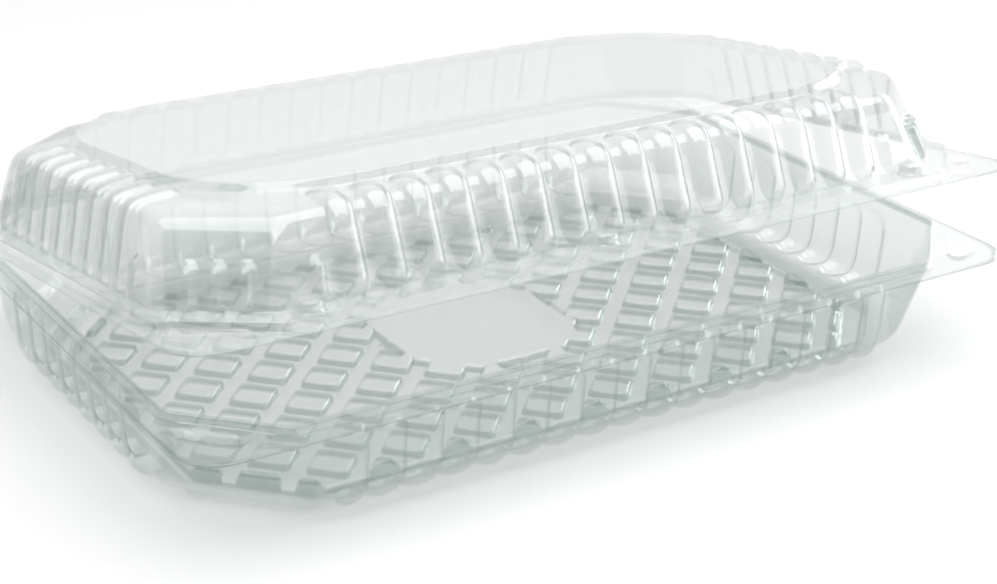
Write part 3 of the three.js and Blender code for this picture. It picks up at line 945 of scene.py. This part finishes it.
@dataclass
class Tray:
    """The lower half: a fluted wall between a beaded lip and the patterned floor."""

    flutes: tuple[Wave, Wave] = (Wave(0.972, 15, 0.972, 0.75), Wave(0.94, 8, 0.94))
    flute_deep: float = 0.2
    bead: float = 0.2
    # Painted shade on the fluted walls and on the cut corners' walls
    painted_wall_shade: float = 0.32
    painted_corner_shade: float = 0.0
    floor: PatternFloor = field(default_factory=PatternFloor)
    closures: tuple[Dimple, ...] = (
        Dimple(-10.85, -6.55, 0.6, 0.3, -0.16, -math.pi / 4),
        Dimple(-9.99, -7.47, 0.0, 0.27, 0.07),
        Dimple(10.85, -6.9, 0.0, 0.47, -0.22),
        Dimple(11.0, -7.38, 0.0, 0.12, 0.05),
    )

    def rings(self) -> list[Ring]:
        """The profile of the tray's underside, from the lip inwards."""
        z, b, low = LIP_Z, self.flute_deep, -self.floor.moat - CAD_SHEET
        return [
            Ring(11.87, 7.96, z, radius=1.0, step=0.035),
            Ring(11.42, 7.5, z, cut=16.8, soft=0.03, mark="lip_end"),
            Ring(11.38, 7.45, z + self.bead, cut=16.76, soft=0.03),
            Ring(11.33, 7.34, z + self.bead, cut=16.7, soft=0.03),
            Ring(11.28, 7.24, z + 0.06, cut=16.66, soft=0.04),
            Ring(11.27, 7.22, 2.08, cut=16.66, bump=b, mark="flute_top", step=0.1),
            Ring(11.17, 7.12, 0.42, cut=15.85, bump=b, soft=0.2, step=0.1),
            Ring(11.0, 6.95, 0.1, cut=15.4, bump=b, soft=0.12, step=0.1),
            Ring(10.4, 6.35, 0.03, cut=14.7, bump=b, soft=0.1, mark="flute_foot", step=0.1),
            Ring(10.25, 6.2, low, cut=14.52, soft=0.07),
            Ring(10.12, 6.03, low, cut=14.34),
        ]

    def build(self, finish: bpy.types.Material) -> bpy.types.Object:
        """Build the tray as one closed sheet.

        Args:
            finish: Its material.

        Returns:
            The object.
        """
        stations: list[Station] = []
        aways = np.linspace(-1.0, 1.0, 15).tolist()
        for q in range(4):
            stations += side_stations(q, self.flutes[q % 2], 10, 0.0)
            stations += corner_stations(q, aways)
        outline = Outline(stations)
        shell = Shell.from_rings(self.rings(), outline, 1.0)
        lift = bumps(shell, outline, self.flutes, "flute_top", "flute_foot", 2.0, 0.6)
        grid = shell.raised(lift)
        flange = shell.down < shell.marks["lip_end"]
        for dimple in self.closures:
            grid[flange, :, 2] += dimple.lift(grid[flange])
        # Tint and painted shade of the wall and lip
        sheet = Sheet.from_grid(grid, True, shell.depth(self.painted_wall_shade, grid, outline, self.painted_corner_shade))
        flat, floor_faces = self.floor.build()
        start = len(sheet.points)
        edge = octagon_distance(flat, *self.floor.border) > -1e-3
        inner_at = np.flatnonzero(edge)
        n = grid.shape[1]
        outer_at = np.arange(start - n, start)
        strip = zip_loops(grid[-1], flat[inner_at], outer_at.tolist(), (inner_at + start).tolist())
        faces = sheet.faces + [tuple(v + start for v in face) for face in floor_faces]
        faces += [tuple(reversed(face)) for face in strip]
        # The floor's painted shade on its steep faces
        bend = np.concatenate([sheet.bend, self.floor.steepness(flat)])
        whole = Sheet(np.vstack([sheet.points, flat]), faces, bend)
        made = whole.solid("tray_sheet", tray_world, finish)
        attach(made, Body.TRAY.value)
        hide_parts("tray")
        return made


@dataclass
class Lid:
    """The upper half: a ribbed wall, a soft shoulder and a raised panel with round corners."""

    ribs: tuple[Wave, Wave] = (Wave(0.977, 16, 0.66), Wave(0.9, 8, 0.6))
    rib_deep: float = 0.27
    rib_top: float = 0.19
    stub_high: float = 1.01
    stub_half: float = 0.2
    stub_at: float = 0.42
    stub_scale: float = 1.4
    stub_share: float = 0.8
    corner_stubs: tuple[float, ...] = (-0.65, 0.0, 0.65)
    knob_radius: float = 0.34
    knob_y: float = -7.24
    closures: tuple[Dimple, ...] = (
        Dimple(-10.68, -6.5, 0.85, 0.17, 0.11, -0.71),
        Dimple(11.2, -6.4, 0.12, 0.24, -0.07, math.pi / 4),
        Dimple(10.3, -7.5, 0.0, 0.27, -0.07),
    )
    # Painted shade on the ribbed walls and on the cut corners' walls
    painted_wall_shade: float = 0.12
    painted_corner_shade: float = 0.35

    def rings(self) -> list[Ring]:
        """The profile of the lid's upper side, from the lip inwards."""
        d, t = self.rib_deep, self.rib_top
        return [
            Ring(11.87, 7.96, CAD_SHEET, radius=1.0, step=0.03),
            Ring(11.64, 7.71, CAD_SHEET, cut=17.12, soft=0.03, mark="lip_end"),
            Ring(11.59, 7.66, 0.29, cut=17.05, soft=0.03, step=0.12),
            Ring(11.2, 6.97, 0.29, cut=16.2, soft=0.03, bump=d, mark="rib_foot"),
            Ring(11.17, 6.93, 0.42, cut=16.13, bump=d, soft=0.04, step=0.1),
            Ring(10.82, 6.5, 1.88, cut=15.25, bump=d, soft=0.16, step=0.1),
            Ring(10.7, 6.36, 2.15, cut=14.98, bump=mix(d, t, 0.5), soft=0.13, step=0.08),
            Ring(10.45, 6.1, 2.265, cut=14.6, bump=t, soft=0.12, step=0.07),
            Ring(9.76, 5.6, 2.34, radius=3.4, bump=t, soft=0.03, mark="rib_end"),
            Ring(9.72, 5.52, 2.38, radius=3.38, soft=0.02),
            Ring(9.62, 5.42, 2.6, radius=3.3, soft=0.04),
            Ring(9.5, 5.3, 2.6, radius=3.2),
        ]

    def _stubs(self, shell: Shell, outline: Outline) -> np.ndarray:
        """Lift of the short ribs on the corners and at the ends of the sides."""
        lift = np.zeros(shell.bump.shape)
        foot = shell.marks["rib_foot"]
        half = self.stub_half
        for j, st in enumerate(outline.stations):
            if st.corner and st.edge < 0 and not st.spread:
                spots = [st.away - c for c in self.corner_stubs]
            elif not st.corner and st.beyond >= 0:
                spots = [(st.beyond - self.stub_at) * self.stub_scale]
            else:
                continue
            for gap in spots:
                if abs(gap) < half:
                    top = foot + self.stub_high
                    beyond = np.maximum(foot + half - shell.down, shell.down - (top - half)) / half
                    shape = arch(np.array(gap / half), np.clip(beyond, 0, 1), 2.0, 0.6)
                    lift[:, j] = shape * self.rib_deep * self.stub_share
        return lift

    def _knob(self, x: float) -> Sheet:
        """One hollow knob that stands on the lid's ledge.

        Args:
            x: Its place along the front.

        Returns:
            Its outer surface.
        """
        count = 28
        turn = np.arange(count) / count * 2 * math.pi
        r = self.knob_radius
        profile = [(r + 0.05, 0.285), (r + 0.01, 0.31), (r, 0.4), (r - 0.01, 0.5), (r - 0.05, 0.56),
                   (r - 0.13, 0.6), (r - 0.24, 0.61)]
        rows = [np.stack([x + np.cos(turn) * a, self.knob_y + np.sin(turn) * a, np.full(count, z)], axis=1)
                for a, z in profile]
        # A little painted shade over the whole knob
        sheet = Sheet.from_grid(np.stack(rows), False, np.full((len(rows), count), 0.1))
        sheet.close(count)
        return sheet

    def build(self, finish: bpy.types.Material) -> bpy.types.Object:
        """Build the lid as one closed sheet.

        Args:
            finish: Its material.

        Returns:
            The object.
        """
        stations: list[Station] = []
        aways = np.linspace(-0.9, 0.9, 37).tolist()
        for q in range(4):
            stations += side_stations(q, self.ribs[q % 2], 8, 1.0)
            stations += corner_stations(q, aways)
        outline = Outline(stations)
        shell = Shell.from_rings(self.rings(), outline, -1.0)
        lift = bumps(shell, outline, self.ribs, "rib_foot", "rib_end", 2.0, 0.5)
        lift = np.maximum(lift, self._stubs(shell, outline))
        grid = shell.raised(lift)
        flange = shell.down < shell.marks["lip_end"]
        for dimple in self.closures:
            grid[flange, :, 2] += dimple.lift(grid[flange])
        # Tint and painted shade of the wall and lip; the panel gets none
        tint = shell.depth(self.painted_wall_shade, grid, outline, self.painted_corner_shade)
        # The flat panel closes in rows that shrink to its middle
        inner = [grid[-1] * np.array([f, f, 1.0]) for f in (0.92, 0.75, 0.5, 0.25)]
        grid = np.concatenate([grid, np.stack(inner)])
        bend = np.concatenate([tint, np.zeros((len(inner), grid.shape[1]))])
        sheet = Sheet.from_grid(grid, False, bend)
        sheet.close(grid.shape[1])
        for x in KNOBS_X:
            sheet.add(self._knob(x))
        made = sheet.solid("lid_sheet", lid_world, finish)
        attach(made, Body.LID.value)
        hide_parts("lid")
        return made


@dataclass
class FoldStrip:
    """The fold that joins the two lips along the back."""

    reach: float = 10.8
    radius: float = 0.068
    back: float = 0.06
    # Painted shade over the whole fold
    tint: float = 0.55
    thick: float = 0.025
    lengths: int = 24
    turns: int = 10

    def build(self, finish: bpy.types.Material) -> bpy.types.Object:
        """Build the fold.

        Args:
            finish: Its material.

        Returns:
            The object.
        """
        middle = LIP_Z + CAD_SHEET + CLOSED_GAP / 2
        arc = np.linspace(-math.pi / 2, math.pi / 2, self.turns + 1)
        y = HINGE_Y + self.radius * 0.5 * np.cos(arc)
        z = middle + self.radius * np.sin(arc)
        y = np.concatenate([[HINGE_Y - self.back], y, [HINGE_Y - self.back]])
        z = np.concatenate([z[:1], z, z[-1:]])
        x = np.linspace(-self.reach, self.reach, self.lengths + 1)
        rows = [np.stack([np.full(len(y), at), y, z], axis=1) for at in x]
        n = len(y)
        faces = [(i * n + j + 1, (i + 1) * n + j + 1, (i + 1) * n + j, i * n + j)
                 for i in range(self.lengths) for j in range(n - 1)]
        sheet = Sheet(np.vstack(rows), faces, np.full(len(rows) * n, self.tint))
        made = sheet.solid("fold_strip", tray_world, finish, self.thick)
        ends = tray_world(np.array([[0.0, HINGE_Y, z[0]], [0.0, HINGE_Y, z[-1]]]))
        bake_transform(made)
        return made


@dataclass(frozen=True)
class SoftBox:
    """One soft box: its place, width and height, and power, and whether it lights the floor."""

    name: str
    at: tuple[float, float, float]
    size: tuple[float, float]
    watts: float
    on_floor: bool = True


@dataclass
class Studio:
    """A white floor, soft light and the camera."""

    eye: tuple[float, float, float] = (-0.29686, -0.45553, 0.25282)
    right: tuple[float, float, float] = (0.8366, -0.5470, 0.0293)
    down: tuple[float, float, float] = (-0.1978, -0.3515, -0.9150)
    ahead: tuple[float, float, float] = (0.5109, 0.7597, -0.4023)
    lens_mm: float = 73.07
    aim: tuple[float, float, float] = (0.0, 0.0, 0.03)
    floor_half: float = 6.0
    brightest_way: tuple[float, float, float] = (0.45, 0.72, 0.53)
    sky: tuple[tuple[float, float], ...] = ((0.0, 0.1), (0.25, 0.16), (0.6, 0.42), (1.0, 0.75))
    sky_strength: float = 1.35
    see_through: int = 48
    boxes: tuple[SoftBox, ...] = (
        SoftBox("soft_box_right", (1.2, -0.05, 0.27), (1.3, 0.5), 10.0, on_floor=False),
        SoftBox("soft_box_front", (0.75, -1.25, 0.25), (1.8, 0.7), 6.0),
        SoftBox("soft_box_top", (0.0, -0.2, 1.15), (2.4, 1.3), 25.0),
    )

    def camera(self) -> bpy.types.Object:
        """Place the camera where the photograph was taken from."""
        data = bpy.data.cameras.new("camera")
        data.sensor_width = 36.0
        data.sensor_fit = "HORIZONTAL"
        data.lens = self.lens_mm
        data.clip_start = 0.01
        made = bpy.data.objects.new("camera", data)
        turn = Matrix([self.right, [-v for v in self.down], [-v for v in self.ahead]]).transposed()
        made.matrix_world = Matrix.Translation(self.eye) @ turn.to_4x4()
        bpy.context.scene.collection.objects.link(made)
        bpy.context.scene.camera = made
        return made

    def floor(self) -> bpy.types.Object:
        """Lay the floor."""
        mesh = bpy.data.meshes.new("studio_floor")
        a = self.floor_half
        mesh.from_pydata([(-a, -a, 0), (a, -a, 0), (a, a, 0), (-a, a, 0)], [], [(0, 1, 2, 3)])
        mesh.materials.append(StudioFloor().material())
        made = bpy.data.objects.new("studio_floor", mesh)
        bpy.context.scene.collection.objects.link(made)
        return made

    def hang(self, box: SoftBox) -> bpy.types.Object:
        """Hang one soft box that looks at the container.

        Args:
            box: What it is.

        Returns:
            The light.
        """
        data = bpy.data.lights.new(box.name, "AREA")
        data.shape = "RECTANGLE"
        data.size, data.size_y = box.size
        data.energy = box.watts
        made = bpy.data.objects.new(box.name, data)
        made.location = box.at
        way = Vector(self.aim) - Vector(box.at)
        made.rotation_euler = way.to_track_quat("-Z", "Y").to_euler()
        made.visible_camera = False
        made.visible_diffuse = box.on_floor
        bpy.context.scene.collection.objects.link(made)
        return made

    def world(self) -> None:
        """Light everything softly, most from the back, where level surfaces mirror it."""
        world = bpy.data.worlds.new("studio_world")
        bpy.context.scene.world = world
        tree = ShaderTree(world)
        way = tree.node("ShaderNodeTexCoord", out="Generated")
        back = tree.node("ShaderNodeVectorMath", {"operation": "DOT_PRODUCT"},
                         {0: way, 1: self.brightest_way}, out="Value")
        light = tree.node("ShaderNodeValToRGB", {"stops": self.sky}, {"Fac": back * 0.5 + 0.5})
        tree.finish(tree.node("ShaderNodeBackground", {},
                              {"Color": light, "Strength": self.sky_strength}))

    def build(self) -> None:
        """Set up everything that isn't the container."""
        self.camera()
        self.floor()
        self.world()
        for box in self.boxes:
            self.hang(box)
        bpy.context.scene.view_settings.view_transform = "Standard"
        bpy.context.scene.cycles.transparent_max_bounces = self.see_through


def main() -> None:
    """Build the container and the studio, and report each piece."""
    logging.basicConfig(level=logging.INFO, format="%(name)s: %(message)s")
    Studio().build()
    clear = ClearSheet().material()
    milky = ClearSheet("clear_sheet_lid", milk=0.1).material()
    for part, finish in ((Tray(), clear), (Lid(), milky), (FoldStrip(), clear)):
        made = part.build(finish)
        LOG.info("%s: %d faces", made.name, len(made.data.polygons))
    bpy.context.view_layer.update()


if __name__ == "__main__":
    main()
